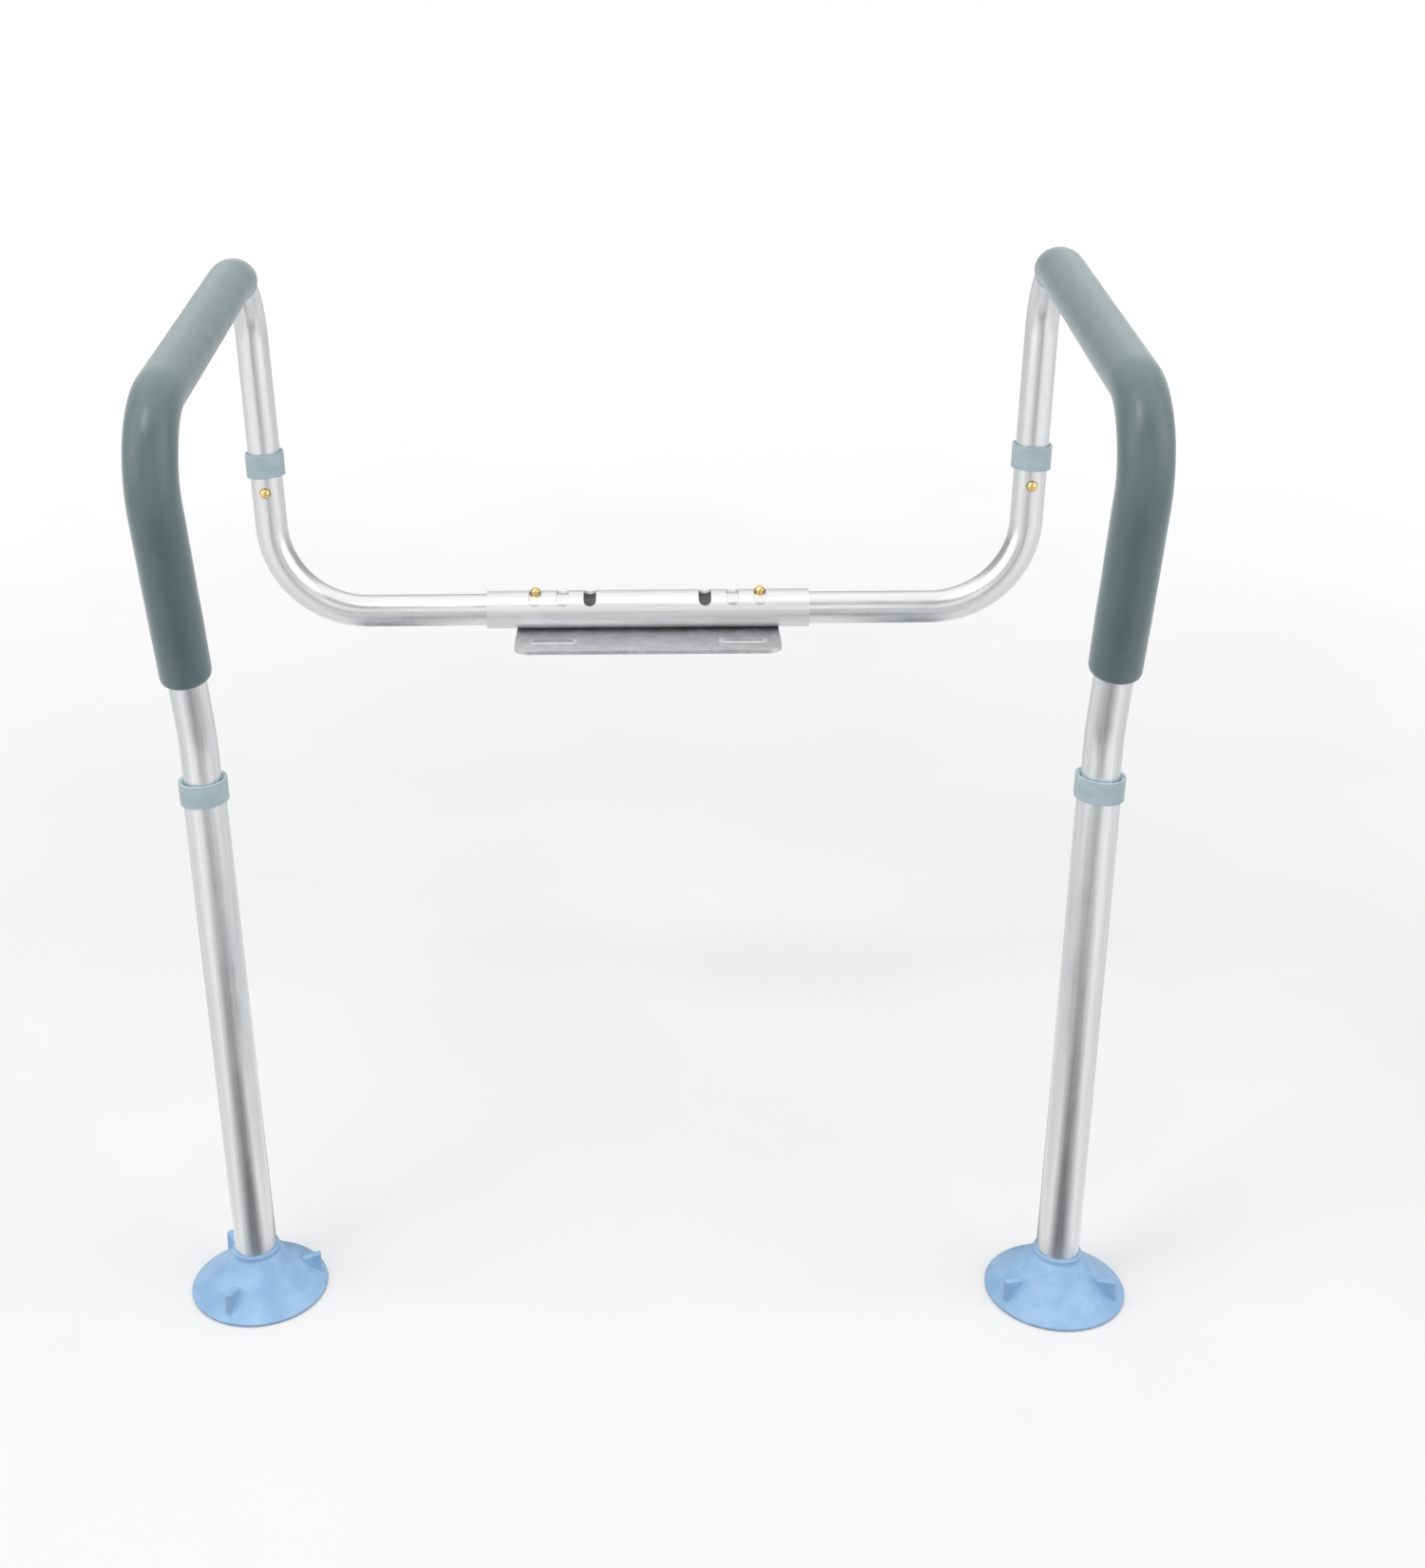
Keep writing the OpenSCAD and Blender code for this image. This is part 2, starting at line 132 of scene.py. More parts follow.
def path_stations(path, start, spacing):
    """(length along the path, bend share, matrix) at even steps, from the path's start to its end."""
    stations = []
    base = start
    passed = 0.0
    for step in path:
        straight, turn, radius, _ = step
        count = max(1, round(straight / spacing)) if straight > 0 else 0
        for i in range(count):
            z = straight * i / count
            stations.append((passed + z, 0.0, base @ Matrix.Translation((0, 0, z))))
        passed += straight
        count = max(1, round(radius * turn / spacing)) if turn > 0 else 0
        for i in range(count):
            share = i / count
            stations.append((passed + radius * turn * share, sin(pi * share),
                             base @ bend_matrix(step, turn * share)))
        passed += radius * turn
        base = base @ bend_matrix(step, turn)
    stations.append((passed, 0.0, base))
    return stations


def straighten(points, path, start):
    """Where each point would be if its tube were pulled straight, across it in x and y, along it in z.

    Each point takes the straight or bend of the path that passes nearest to it.
    """
    best = np.full(len(points), np.inf)
    result = np.zeros_like(points)
    base = start
    passed = 0.0

    def keep(across, along, outside):
        gap = np.hypot(across[:, 0], across[:, 1]) + 5 * outside
        nearer = gap < best
        best[nearer] = gap[nearer]
        result[nearer, :2] = across[nearer]
        result[nearer, 2] = along[nearer]

    for step in path:
        straight, turn, radius, roll = step
        inverse = np.array(base.inverted())
        local = points @ inverse[:3, :3].T + inverse[:3, 3]
        outside = np.maximum(0, np.maximum(-local[:, 2], local[:, 2] - straight))
        keep(local[:, :2], passed + local[:, 2], outside)
        if turn > 0:
            unroll = np.array(Matrix.Rotation(-roll, 3, "Z"))
            bent = (local - np.array((0, 0, straight))) @ unroll.T + np.array((0, radius, 0))
            angle = np.arctan2(bent[:, 2], bent[:, 1])
            outside = radius * np.maximum(0, np.maximum(-angle, angle - turn))
            across = np.stack([bent[:, 0], np.hypot(bent[:, 1], bent[:, 2]) - radius], axis=1)
            across = across @ unroll[:2, :2]
            keep(across, passed + straight + radius * angle, outside)
        passed += straight + radius * turn
        base = base @ bend_matrix(step, turn)
    return result


def store_tube_coordinates(obj, path, start):
    """Gives a mesh the attribute that the materials use to run their grain along a tube."""
    points = np.array([v.co for v in obj.data.vertices], float).reshape(-1, 3)
    tube_attribute(obj, straighten(points, path, start))


def tube_attribute(obj, coordinates):
    attribute = obj.data.attributes.new("along_tube", "FLOAT_VECTOR", "POINT")
    attribute.data.foreach_set("vector", np.array(coordinates, np.float32).ravel())


# ---- Mesh helpers

def new_object(name, vertices, faces):
    mesh = bpy.data.meshes.new(name)
    mesh.from_pydata(vertices, [], faces)
    mesh.validate()
    mesh.update()
    obj = bpy.data.objects.new(name, mesh)
    bpy.context.scene.collection.objects.link(obj)
    return obj


def ring_faces(rings, around, closed=False):
    """Faces between neighbouring rings of vertices; closed joins the last ring to the first."""
    faces = []
    for r in range(rings if closed else rings - 1):
        here = r * around
        there = ((r + 1) % rings) * around
        for k in range(around):
            after = (k + 1) % around
            faces.append((here + k, here + after, there + after, there + k))
    return faces


def shade_smooth(obj):
    obj.data.polygons.foreach_set("use_smooth", [True] * len(obj.data.polygons))


def flip_if_inside_out(obj):
    """A mirrored mesh has its faces turned inward; this turns them back."""
    volume = 0.0
    for polygon in obj.data.polygons:
        volume += polygon.center.dot(polygon.normal) * polygon.area
    if volume < 0:
        obj.data.flip_normals()


def apply_modifiers(obj):
    """Turns the object's mesh into what its modifiers make of it."""
    graph = bpy.context.evaluated_depsgraph_get()
    graph.update()
    mesh = bpy.data.meshes.new_from_object(obj.evaluated_get(graph))
    obj.modifiers.clear()
    obj.data = mesh


# ---- Foam grips

FOAM_EDGE = 0.0042          # rounding of the foam's ends
FRONT_TAPER = 0.060         # length over which the front end draws in, and by how much
FRONT_DRAW = 0.0004
REAR_TAPER = 0.030
REAR_DRAW = 0.0012
SKIN_SWAY = 0.00018         # unevenness of the skin
FOLD_DEPTH = 0.00030        # folds on the inside of a bend
FOLD_PITCH = 0.0075
THINNEST_FOAM = 0.0006


def foam_radius(along, angle, bend, total):
    """Outer radius of the foam: eased and slightly drawn-in ends, soft unevenness between them."""
    radius = GRIP_R - SKIN_SWAY - 0.00004
    radius -= FRONT_DRAW * max(0.0, 1 - (total - along) / FRONT_TAPER) ** 2
    radius -= REAR_DRAW * max(0.0, 1 - along / REAR_TAPER) ** 2
    radius += SKIN_SWAY * noise.noise(Vector((cos(angle), sin(angle), along * 35)) * 1.1)
    # The skin gathers on the inside of a bend, where the foam is squeezed
    inside = max(0.0, -sin(angle)) * bend
    radius -= FOLD_DEPTH * inside * (0.5 + 0.5 * sin(along * tau / FOLD_PITCH))
    to_end = min(along, total - along)
    if to_end < FOAM_EDGE:
        roundness = 1 - (1 - (1 - to_end / FOAM_EDGE) ** 2) ** 0.5
        radius -= FOAM_EDGE * roundness * 0.85
    return max(radius, GRIP_BORE + THINNEST_FOAM)


def foam_grip(side, mirror):
    """A closed sleeve along the armrest: outer skin one way, bore back the other."""
    around = 80
    spacing = 0.0022
    post_start = ARM_FRAME @ Matrix.Translation((0, 0, NECK_TOP))
    grip_start = post_start @ bend_matrix(GRIP_LEAD, GRIP_LEAD[1])
    stations = path_stations(GRIP_PATH, grip_start, spacing)
    # Extra rings close to both ends carry the rounded edge
    total = stations[-1][0]
    first, last = stations[0], stations[-1]
    for depth in (0.0003, 0.0008, 0.0015):
        stations.insert(1, (first[0] + depth, 0.0, first[2] @ Matrix.Translation((0, 0, depth))))
        stations.insert(-1, (last[0] - depth, 0.0, last[2] @ Matrix.Translation((0, 0, -depth))))
    stations.sort(key=lambda station: station[0])
    vertices = []
    straight = []
    for inner in (False, True):
        for along, bend, matrix in (reversed(stations) if inner else stations):
            for k in range(around):
                angle = tau * k / around
                radius = GRIP_BORE if inner else foam_radius(along, angle, bend, total)
                local = Vector((radius * cos(angle), radius * sin(angle), 0))
                vertices.append(mirror @ (matrix @ local))
                straight.append((local.x, local.y, along))
    grip = new_object(f"{side}_foam_grip", vertices, ring_faces(2 * len(stations), around, closed=True))
    tube_attribute(grip, straight)
    flip_if_inside_out(grip)
    shade_smooth(grip)
    return grip


# ---- Rubber feet

def revolve(name, outline, around=120):
    """A closed solid from an outline of (radius, height) points that starts and ends on the axis."""
    vertices = [(0, 0, outline[0][1])]
    for radius, height in outline[1:-1]:
        for k in range(around):
            angle = tau * k / around
            vertices.append((radius * cos(angle), radius * sin(angle), height))
    vertices.append((0, 0, outline[-1][1]))
    rings = len(outline) - 2
    faces = [(1 + a, 1 + b, 1 + c, 1 + d) for a, b, c, d in ring_faces(rings, around)]
    top = len(vertices) - 1
    last = 1 + (rings - 1) * around
    for k in range(around):
        after = (k + 1) % around
        faces.append((0, 1 + after, 1 + k))
        faces.append((top, last + k, last + after))
    return new_object(name, vertices, faces)


def smooth_outline(points, steps=6):
    """Rounds an outline's corners with a Catmull-Rom curve through its points."""
    result = [points[0]]
    for i in range(len(points) - 1):
        before = Vector(points[max(i - 1, 0)])
        here, there = Vector(points[i]), Vector(points[i + 1])
        after = Vector(points[min(i + 2, len(points) - 1)])
        for s in range(1, steps + 1):
            t = s / steps
            point = 0.5 * (2 * here + (there - before) * t
                           + (2 * before - 5 * here + 4 * there - after) * t * t
                           + (3 * here - before - 3 * there + after) * t ** 3)
            result.append((point.x, point.y))
    return result


def cup(name):
    """The suction cup: hollow below, bell-shaped above, with a thin soft rim. Points are in mm."""
    below = [(0, 2.0), (16.5, 2.0), (17.6, 3.0), (19.4, 9.6), (22.6, 11.6), (31, 7.1), (39, 2.7),
             (41.6, 0.15)]
    rim = [(43.4, 0.0), (46.0, 0.0), (47.0, 0.5), (47.45, 1.4), (47.1, 2.2)]
    above = smooth_outline([(46.1, 2.8), (39, 7.8), (33, 12.2), (27, 16.9), (23, 20.5), (19.6, 24.4),
                            (16.8, 27.6)])
    outline = below + rim + above + [(0, 28)]
    return revolve(name, [(r * MM, z * MM) for r, z in outline])


def pull_tab(name, turn):
    """An upright tab with eased edges, standing along a radius of the cup."""
    thick = 4.8 * MM
    inner = FOOT_R - 0.0180
    outer = FOOT_R - 0.0046
    outline = [(inner, 0.0105), (outer, 0.0032), (outer, 0.0196), (outer - 0.0008, 0.0204),
               (inner + 0.0015, 0.0182), (inner, 0.0172)]
    vertices = [(x, y, z) for y in (-thick / 2, thick / 2) for x, z in outline]
    n = len(outline)
    faces = [tuple(range(n)), tuple(reversed(range(n, 2 * n)))]
    for k in range(n):
        after = (k + 1) % n
        faces.append((k, k + n, after + n, after))
    tab = new_object(name, vertices, faces)
    bevel = tab.modifiers.new("eased", "BEVEL")
    bevel.width = 0.9 * MM
    bevel.segments = 3
    tab.matrix_world = Matrix.Rotation(turn, 4, "Z")
    return tab


def leg_cylinder(name, radius, bottom, top, around=96):
    """A solid cylinder on the tipped axis of the leg, standing at the middle of the cup."""
    outline = [(0, bottom), (radius, bottom), (radius, top), (0, top)]
    cylinder = revolve(name, outline, around)
    cylinder.data.transform(Matrix.Rotation(FLARE, 4, "Y"))
    return cylinder


def join_meshes(target, others):
    for other in others:
        bpy.context.view_layer.update()
        apply_modifiers(other)
    with bpy.context.temp_override(active_object=target, object=target,
                                   selected_objects=[target] + others,
                                   selected_editable_objects=[target] + others):
        bpy.ops.object.join()


def rubber_foot(side, mirror, first_tab):
    """Cup, neck and tabs melted into one moulding, then bored for the leg."""
    lip = 0.6 * MM
    neck_r = LEG_R + 2.1 * MM
    neck_height = 31.5 * MM
    foot = cup(f"{side}_suction_foot")
    neck = revolve("neck", [(0, 0.008), (neck_r, 0.008), (neck_r, neck_height - lip),
                            (neck_r - lip, neck_height), (0, neck_height)])
    neck.data.transform(Matrix.Rotation(FLARE, 4, "Y"))
    tabs = [pull_tab(f"tab_{i}", first_tab + i * tau / 3) for i in range(3)]
    join_meshes(foot, [neck] + tabs)
    melt = foot.modifiers.new("melt", "REMESH")
    melt.mode = "VOXEL"
    melt.voxel_size = 0.55 * MM
    soften = foot.modifiers.new("soften", "SMOOTH")
    soften.factor = 0.5
    soften.iterations = 7
    bore = leg_cylinder("bore", LEG_R + 0.05 * MM, 5.5 * MM, 40 * MM)
    cut = foot.modifiers.new("bore", "BOOLEAN")
    cut.operation = "DIFFERENCE"
    cut.solver = "EXACT"
    cut.object = bore
    bpy.context.view_layer.update()
    apply_modifiers(foot)
    bpy.data.objects.remove(bore)
    foot.data.transform(mirror @ Matrix.Translation((FOOT_X, BAR_Y + JOG_Y, 0)))
    flip_if_inside_out(foot)
    shade_smooth(foot)
    return foot


# ---- Materials

class Shader:
    """Adds and joins the nodes of one material."""

    def __init__(self, name):
        self.material = bpy.data.materials.new(name)
        self.material.use_nodes = True
        self.tree = self.material.node_tree
        self.surface = self.tree.nodes["Principled BSDF"]

    def add(self, kind, **inputs):
        node = self.tree.nodes.new(kind)
        self.feed(node, **inputs)
        return node

    def feed(self, node, **inputs):
        """Sets a node's inputs, named with _ for a space, from values or from other nodes' outputs."""
        for name, value in inputs.items():
            socket = node.inputs[name.replace("_", " ")]
            if isinstance(value, bpy.types.NodeSocket):
                self.tree.links.new(value, socket)
            else:
                socket.default_value = value

    def place(self, on_tube, scale):
        """Coordinates in metres, times a scale for each axis."""
        if on_tube:
            source = self.add("ShaderNodeAttribute")
            source.attribute_name = "along_tube"
            vector = source.outputs["Vector"]
        else:
            vector = self.add("ShaderNodeTexCoord").outputs["Object"]
        mapping = self.add("ShaderNodeMapping", Vector=vector, Scale=scale)
        return mapping.outputs["Vector"]

    def noise(self, place, detail=4.0, roughness=0.5):
        node = self.add("ShaderNodeTexNoise", Vector=place, Scale=1.0, Detail=detail, Roughness=roughness)
        return node.outputs["Fac"]

    def cells(self, place):
        return self.add("ShaderNodeTexVoronoi", Vector=place, Scale=1.0).outputs["Distance"]

    def flakes(self, place):
        """One random value for each cell."""
        cells = self.add("ShaderNodeTexVoronoi", Vector=place, Scale=1.0)
        return self.add("ShaderNodeSeparateColor", Color=cells.outputs["Color"]).outputs["Red"]

    def spread(self, value, low, high, to_low=0.0, to_high=1.0):
        """Maps low..high of a value onto to_low..to_high, and holds it there outside that range."""
        node = self.add("ShaderNodeMapRange", Value=value, From_Min=low, From_Max=high,
                        To_Min=to_low, To_Max=to_high)
        return node.outputs["Result"]

    def math(self, operation, a, b):
        node = self.tree.nodes.new("ShaderNodeMath")
        node.operation = operation
        for socket, value in zip(node.inputs, (a, b)):
            if isinstance(value, bpy.types.NodeSocket):
                self.tree.links.new(value, socket)
            else:
                socket.default_value = value
        return node.outputs["Value"]

    def blend(self, share, first, second):
        """A colour between two colours."""
        node = self.tree.nodes.new("ShaderNodeMix")
        node.data_type = "RGBA"
        sockets = {s.name: s for s in node.inputs if s.enabled}
        for name, value in (("Factor", share), ("A", first), ("B", second)):
            if isinstance(value, bpy.types.NodeSocket):
                self.tree.links.new(value, sockets[name])
            else:
                sockets[name].default_value = value
        return [s for s in node.outputs if s.enabled][0]

    def bump(self, height, strength, distance, edge=0.0):
        """Relief from a height, over edges that are rounded by a small radius."""
        node = self.add("ShaderNodeBump", Height=height, Strength=strength, Distance=distance)
        if edge > 0:
            rounded = self.add("ShaderNodeBevel", Radius=edge)
            rounded.samples = 4
            self.tree.links.new(rounded.outputs["Normal"], node.inputs["Normal"])
        self.feed(self.surface, Normal=node.outputs["Normal"])


def drawn_aluminium(name, on_tube, grain, dullness=0.0, relief=0.16):
    """Satin metal with fine drawing lines; grain is the noise scale across x, y and z."""
    shader = Shader(name)
    lines = shader.noise(shader.place(on_tube, grain), detail=3, roughness=0.6)
    bands = shader.noise(shader.place(on_tube, tuple(g * 0.16 for g in grain)), detail=2)
    handling = shader.noise(shader.place(False, (38, 38, 38)), detail=5, roughness=0.62)
    tone = shader.math("ADD", shader.math("MULTIPLY", lines, 0.55), shader.math("MULTIPLY", bands, 0.45))
    colour = shader.blend(shader.spread(tone, 0.35, 0.65), (0.70, 0.705, 0.71, 1), (0.89, 0.892, 0.895, 1))
    polish = shader.math("ADD", shader.spread(lines, 0.3, 0.7, 0.0, 0.08),
                         shader.spread(handling, 0.35, 0.7, 0.23 + dullness, 0.33 + dullness))
    shader.feed(shader.surface, Base_Color=colour, Metallic=1.0, Roughness=polish)
    shader.bump(lines, relief, 0.00008, edge=0.00035)
    return shader.material


def grip_foam():
    """Closed-cell foam: smooth skin, tiny pores with painted shade in their pits, faint mottling and a soft
    bloom at grazing angles.
    """
    shader = Shader("grip_foam")
    pores = shader.cells(shader.place(True, (1300, 1300, 1300)))
    grain = shader.noise(shader.place(True, (520, 520, 520)), detail=4, roughness=0.6)
    mottle = shader.noise(shader.place(True, (34, 34, 16)), detail=3)
    tone = shader.math("ADD", shader.math("MULTIPLY", grain, 0.35), shader.math("MULTIPLY", mottle, 0.65))
    base = shader.blend(shader.spread(tone, 0.36, 0.64), (0.094, 0.140, 0.141, 1), (0.126, 0.180, 0.181, 1))
    # Painted shade: the pits of the pores, where the bump sinks, are painted darker
    pores_painted_shade = shader.blend(shader.spread(pores, 0.04, 0.18), (0.074, 0.108, 0.109, 1), base)
    shader.feed(shader.surface, Base_Color=pores_painted_shade, Roughness=shader.spread(mottle, 0.3, 0.7, 0.34, 0.44),
                Sheen_Weight=0.9, Sheen_Roughness=0.42, Sheen_Tint=(0.86, 0.95, 0.95, 1),
                Specular_IOR_Level=0.62)
    relief = shader.math("ADD", shader.spread(pores, 0.0, 0.3), grain)
    shader.bump(relief, 0.16, 0.00018)
    return shader.material


def collar_plastic():
    """Moulded pale blue-grey plastic with a fine sparked grain."""
    shader = Shader("collar_plastic")
    grain = shader.noise(shader.place(False, (1500, 1500, 1500)), detail=2)
    flow = shader.noise(shader.place(False, (60, 60, 140)), detail=3)
    colour = shader.blend(shader.spread(flow, 0.35, 0.65), (0.43, 0.55, 0.59, 1), (0.50, 0.62, 0.66, 1))
    polish = shader.spread(flow, 0.3, 0.7, 0.36, 0.46)
    shader.feed(shader.surface, Base_Color=colour, Roughness=polish, Subsurface_Weight=0.06,
                Subsurface_Radius=(0.002, 0.003, 0.003))
    shader.bump(grain, 0.10, 0.0001, edge=0.0006)
    return shader.material


def foot_rubber():
    """Soft blue rubber: satin, with faint flow marks and a little dust in its grain."""
    shader = Shader("foot_rubber")
    grain = shader.noise(shader.place(False, (900, 900, 900)), detail=3, roughness=0.6)
    flow = shader.noise(shader.place(False, (70, 70, 70)), detail=4, roughness=0.55)
    base = shader.blend(shader.spread(flow, 0.35, 0.65), (0.250, 0.435, 0.680, 1), (0.335, 0.530, 0.760, 1))
    dusty = shader.blend(shader.spread(grain, 0.50, 0.78, 0.0, 0.35), base, (0.50, 0.64, 0.82, 1))
    shader.feed(shader.surface, Base_Color=dusty, Roughness=shader.spread(flow, 0.3, 0.7, 0.38, 0.52),
                Subsurface_Weight=0.12, Subsurface_Radius=(0.002, 0.004, 0.007))
    shader.bump(grain, 0.14, 0.00015)
    return shader.material


def brass():
    """Polished brass buttons with turning rings and a trace of tarnish."""
    shader = Shader("brass")
    turning = shader.noise(shader.place(False, (1400, 1400, 1400)), detail=2)
    tarnish = shader.noise(shader.place(False, (260, 260, 260)), detail=4)
    colour = shader.blend(shader.spread(tarnish, 0.38, 0.68), (0.95, 0.71, 0.32, 1), (0.80, 0.54, 0.21, 1))
    shader.feed(shader.surface, Base_Color=colour, Metallic=1.0,
                Roughness=shader.spread(tarnish, 0.3, 0.7, 0.16, 0.34))
    shader.bump(turning, 0.12, 0.00006, edge=0.0003)
    return shader.material


def spring_steel():
    """Blued strip with rolling lines."""
    shader = Shader("spring_steel")
    rolled = shader.noise(shader.place(False, (160, 1800, 160)), detail=3)
    colour = shader.blend(shader.spread(rolled, 0.35, 0.65), (0.36, 0.37, 0.39, 1), (0.56, 0.57, 0.59, 1))
    shader.feed(shader.surface, Base_Color=colour, Metallic=1.0,
                Roughness=shader.spread(rolled, 0.3, 0.7, 0.25, 0.40))
    shader.bump(rolled, 0.10, 0.00005, edge=0.0002)
    return shader.material


def zinc_steel():
    """Zinc-plated pressed steel: soft spangle, fine scuffs along the plate."""
    shader = Shader("zinc_steel")
    spangle = shader.flakes(shader.place(False, (170, 170, 170)))
    scuffs = shader.noise(shader.place(False, (45, 900, 900)), detail=3)
    tone = shader.math("ADD", shader.math("MULTIPLY", spangle, 0.5), shader.math("MULTIPLY", scuffs, 0.5))
    colour = shader.blend(shader.spread(tone, 0.2, 0.8), (0.60, 0.61, 0.62, 1), (0.74, 0.75, 0.77, 1))
    shader.feed(shader.surface, Base_Color=colour, Metallic=1.0,
                Roughness=shader.spread(spangle, 0, 1, 0.28, 0.38))
    shader.bump(scuffs, 0.08, 0.00008, edge=0.0004)
    return shader.material


def dress(obj, material):
    obj.data.materials.clear()
    obj.data.materials.append(material)
    obj.data.polygons.foreach_set("material_index", [0] * len(obj.data.polygons))


# ---- Spring clips

# For each snap button: the way it faces, and how far along that way its tube's axis lies
BUTTONS = (("width", Vector((0, 0, 1)), BAR_Z),
           ("post", Vector((0, -1, 0)), -BAR_Y),
           ("leg", Vector((0, 1, 0)), BAR_Y + JOG_Y))


def bending_clips():
    """The spring clips again, each a copy of its CAD clip's mesh in spring steel, standing in place of
    the hidden CAD clip."""
    steel = spring_steel()
    for side, _ in SIDES:
        for button, faces, axis_at in BUTTONS:
            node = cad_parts[f"{side}_{button}_clip"]
            spring = bpy.data.objects.new(f"{side}_{button}_spring", node.data.copy())
            bpy.context.scene.collection.objects.link(spring)
            spring.data.transform(node.matrix_world)
            dress(spring, steel)
            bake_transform(spring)
            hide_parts(node.name)


# ---- Studio

# The metal mirrors a floor that glows, with a darker strip in front of each leg
STRIP_LEAN = 0.22        # how far a strip leans to the middle, for each metre in front of its leg
STRIP_NEAR_HALF = 0.85   # half its width close to its leg, for each metre in front of that leg
STRIP_FAR_HALF = 0.30    # and the same from about a metre off
STRIP_NEAR_DARK = 0.0    # glow of a strip close to its leg
STRIP_FAR_DARK = 0.32    # and from about a metre off
STRIP_BRIGHT = 0.80      # glow just beside a strip
STRIP_FAR = 0.62         # glow well away from both strips
WORLD_FILL = 0.40        # the surroundings as a light
FLOOR_RADIUS = 14.0


def floor_finish():
    """Pale to the camera, and paler with distance. Mirrors see the strips, and other rays a grey floor."""
    shader = Shader("floor")
    rays = shader.add("ShaderNodeLightPath")
    seen = rays.outputs["Is Camera Ray"]
    mirrored = rays.outputs["Is Glossy Ray"]
    tone = shader.noise(shader.place(False, (3, 3, 3)), detail=3)
    pale = shader.blend(shader.spread(tone, 0.3, 0.7), (0.62, 0.62, 0.63, 1), (0.65, 0.65, 0.655, 1))
    unseen = shader.blend(mirrored, (0.28, 0.29, 0.31, 1), (0.17, 0.175, 0.18, 1))
    colour = shader.blend(seen, unseen, pale)
    position = shader.add("ShaderNodeSeparateXYZ", Vector=shader.place(False, (1, 1, 1)))
    from_middle = shader.math("ABSOLUTE", position.outputs["X"], 0)
    ahead = shader.math("MAXIMUM", shader.math("SUBTRACT", BAR_Y + JOG_Y, position.outputs["Y"]), 0.05)
    strip_x = shader.math("SUBTRACT", FOOT_X, shader.math("MULTIPLY", ahead, STRIP_LEAN))
    beside = shader.math("ABSOLUTE", shader.math("SUBTRACT", from_middle, strip_x), 0)
    slant = shader.math("DIVIDE", beside, ahead)
    half = shader.spread(ahead, 0.1, 0.9, STRIP_NEAR_HALF, STRIP_FAR_HALF)
    dark = shader.spread(ahead, 0.1, 0.8, STRIP_NEAR_DARK, STRIP_FAR_DARK)
    near = shader.spread(shader.math("DIVIDE", slant, half), 0.4, 1.6, dark, STRIP_BRIGHT)
    far = shader.spread(slant, 0.8, 3.6, 0, STRIP_BRIGHT - STRIP_FAR)
    strip = shader.math("SUBTRACT", near, far)
    from_centre = shader.add("ShaderNodeVectorMath", Vector=shader.place(False, (1, 1, 1)))
    from_centre.operation = "LENGTH"
    backdrop = shader.spread(from_centre.outputs["Value"], 0.8, 4.0, 0.22, 0.75)
    glow = shader.math("ADD", shader.math("MULTIPLY", seen, backdrop),
                       shader.math("MULTIPLY", mirrored, strip))
    shader.feed(shader.surface, Base_Color=colour, Roughness=0.8, Specular_IOR_Level=0.0,
                Emission_Color=(1, 1, 1, 1), Emission_Strength=glow)
    return shader.material


def pale_floor():
    """A wide round floor; far from the frame it fades into the world's white."""
    around = 96
    angles = [tau * k / around for k in range(around)]
    rim = [(FLOOR_RADIUS * cos(angle), FLOOR_RADIUS * sin(angle), 0) for angle in angles]
    floor = new_object("floor", rim, [tuple(range(around))])
    dress(floor, floor_finish())


def white_surroundings():
    """The camera sees white all round; as a light the surroundings are only a dim fill."""
    world = bpy.data.worlds.new("studio")
    world.use_nodes = True
    nodes = world.node_tree.nodes
    links = world.node_tree.links
    background = nodes["Background"]
    background.inputs["Color"].default_value = (1, 1, 1, 1)
    rays = nodes.new("ShaderNodeLightPath")
    level = nodes.new("ShaderNodeMapRange")
    level.inputs["To Min"].default_value = WORLD_FILL
    level.inputs["To Max"].default_value = 1.0
    links.new(rays.outputs["Is Camera Ray"], level.inputs["Value"])
    links.new(level.outputs["Result"], background.inputs["Strength"])
    bpy.context.scene.world = world


def soft_box(name, place, aim, width, height, power, colour=(1, 1, 1)):
    light = bpy.data.lights.new(name, "AREA")
    light.shape = "RECTANGLE"
    light.size = width
    light.size_y = height
    light.energy = power
    light.color = colour
    lamp = bpy.data.objects.new(name, light)
    lamp.location = place
    lamp.rotation_euler = (Vector(aim) - Vector(place)).to_track_quat("-Z", "Y").to_euler()
    bpy.context.scene.collection.objects.link(lamp)


def studio():
    middle = (0, -0.15, 0.35)
    soft_box("left_box", (-3.0, -1.4, 1.8), middle, 3.4, 3.2, 52, (1.0, 0.99, 0.97))
    soft_box("right_box", (3.0, -1.4, 1.8), middle, 3.4, 3.2, 52, (0.98, 0.99, 1.0))
    soft_box("front_box", (0, -3.8, 1.8), middle, 3.0, 2.0, 16)
    soft_box("top_box", (0, 0.3, 3.2), middle, 5.0, 4.0, 48)
    soft_box("key_box", (-0.9, -1.0, 2.8), middle, 0.7, 0.7, 13)
    soft_box("back_box", (0, 2.6, 2.2), (0, 0, 0.5), 3.0, 1.4, 6)
    white_surroundings()
    bpy.context.scene.view_settings.view_transform = "Standard"


# ---- Camera: where it stands, which way it looks, and its lens as shares of the picture's height

CAMERA_PLACE = Vector((0.00529, BAR_Y - 1.60206, 0.92087))
CAMERA_DOWN = radians(11.91)
CAMERA_LEFT = radians(2.21)
CAMERA_ROLL = radians(1.13)
FOCAL_LENGTH = 1.32839
SHIFT_X = 0.08920
SHIFT_Y = -0.25931


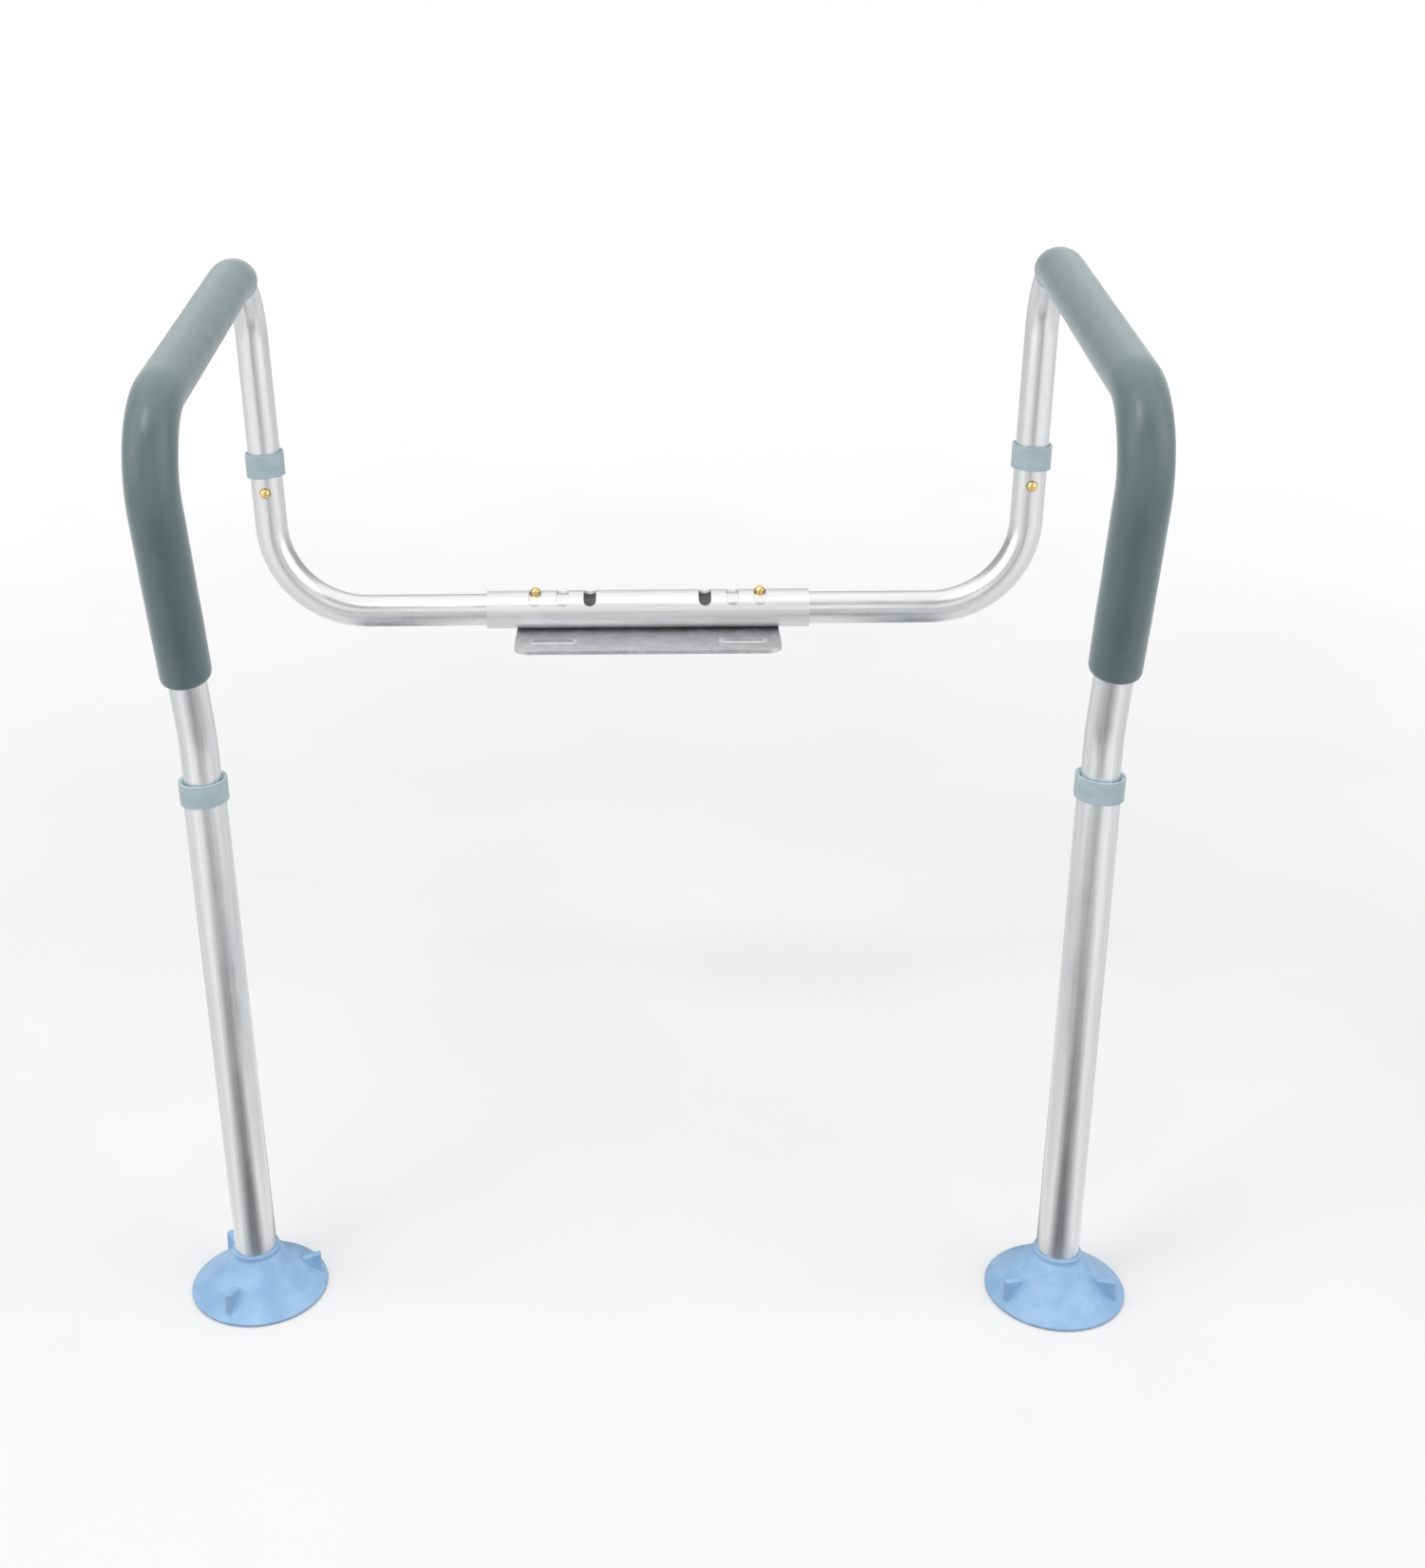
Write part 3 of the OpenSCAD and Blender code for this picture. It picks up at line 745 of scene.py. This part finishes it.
def shift_from_here_only(camera, name, amount):
    curve = camera.data.driver_add(name)
    curve.driver.type = "SUM"
    mode = curve.driver.variables.new()
    mode.targets[0].id = camera
    mode.targets[0].data_path = "rotation_mode"
    # Quaternions count as mode 0 and Euler angles as mode 1, so the shift is the mode times amount
    curve.modifiers[0].coefficients = (0, amount)


def place_camera():
    data = bpy.data.cameras.new("camera")
    data.sensor_width = 36
    data.lens = FOCAL_LENGTH * data.sensor_width
    camera = bpy.data.objects.new("camera", data)
    for name, amount in (("shift_x", SHIFT_X), ("shift_y", SHIFT_Y)):
        shift_from_here_only(camera, name, amount)
    level = Matrix.Rotation(pi / 2, 4, "X")
    turn = Matrix.Rotation(CAMERA_LEFT, 4, "Z")
    nod = Matrix.Rotation(-CAMERA_DOWN, 4, "X")
    roll = Matrix.Rotation(-CAMERA_ROLL, 4, "Z")
    camera.matrix_world = Matrix.Translation(CAMERA_PLACE) @ turn @ level @ nod @ roll
    bpy.context.scene.collection.objects.link(camera)
    bpy.context.scene.camera = camera


# ---- Putting it together

def dress_frame():
    """Materials for every CAD node, with tube coordinates where the metal was drawn."""
    across_grain = (1100, 1100, 14)
    tube_metal = drawn_aluminium("drawn_aluminium", True, across_grain)
    bar_metal = drawn_aluminium("satin_aluminium", True, across_grain, dullness=0.14, relief=0.06)
    button_metal = brass()
    clip_metal = spring_steel()
    plate_metal = zinc_steel()
    collar = collar_plastic()
    by_ending = (("_button", button_metal), ("_clip", clip_metal), ("_collar", collar),
                 ("_bracket", plate_metal), ("_rivets", plate_metal), ("_washer", plate_metal),
                 ("_tube", tube_metal), ("_bow", tube_metal), ("crossbar_tube", bar_metal))
    for name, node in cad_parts.items():
        for ending, material in by_ending:
            if name.endswith(ending):
                dress(node, material)
    along_x = Matrix.Rotation(pi / 2, 4, "Y")
    store_tube_coordinates(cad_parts["crossbar_tube"], [(1, 0, 0, 0)],
                           Matrix.Translation((-0.5, BAR_Y, BAR_Z)) @ along_x)
    for side, mirror in SIDES:
        tube_start = mirror @ ARM_FRAME @ Matrix.Translation((0, 0, NECK_TOP))
        bow_start = mirror @ Matrix.Translation((BOW_INNER_X, BAR_Y, BAR_Z)) @ along_x
        leg_start = mirror @ ARM_FRAME @ Matrix.Translation((0, JOG_Y, -0.5))
        store_tube_coordinates(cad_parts[f"{side}_arm_tube"], ARM_PATH, tube_start)
        store_tube_coordinates(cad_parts[f"{side}_lower_bow"], BOW_PATH, bow_start)
        store_tube_coordinates(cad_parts[f"{side}_leg_tube"], [(1, 0, 0, 0)], leg_start)


def soft_goods():
    foam = grip_foam()
    rubber = foot_rubber()
    first_tab = {"right": radians(90), "left": radians(50)}
    for side, mirror in SIDES:
        grip = foam_grip(side, mirror)
        dress(grip, foam)
        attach(grip, f"{side}_arm")
        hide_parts(f"{side}_arm_grip")
        foot = rubber_foot(side, mirror, first_tab[side])
        dress(foot, rubber)
        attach(foot, f"{side}_leg")
        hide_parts(f"{side}_foot")


dress_frame()
soft_goods()
bending_clips()
pale_floor()
studio()
place_camera()
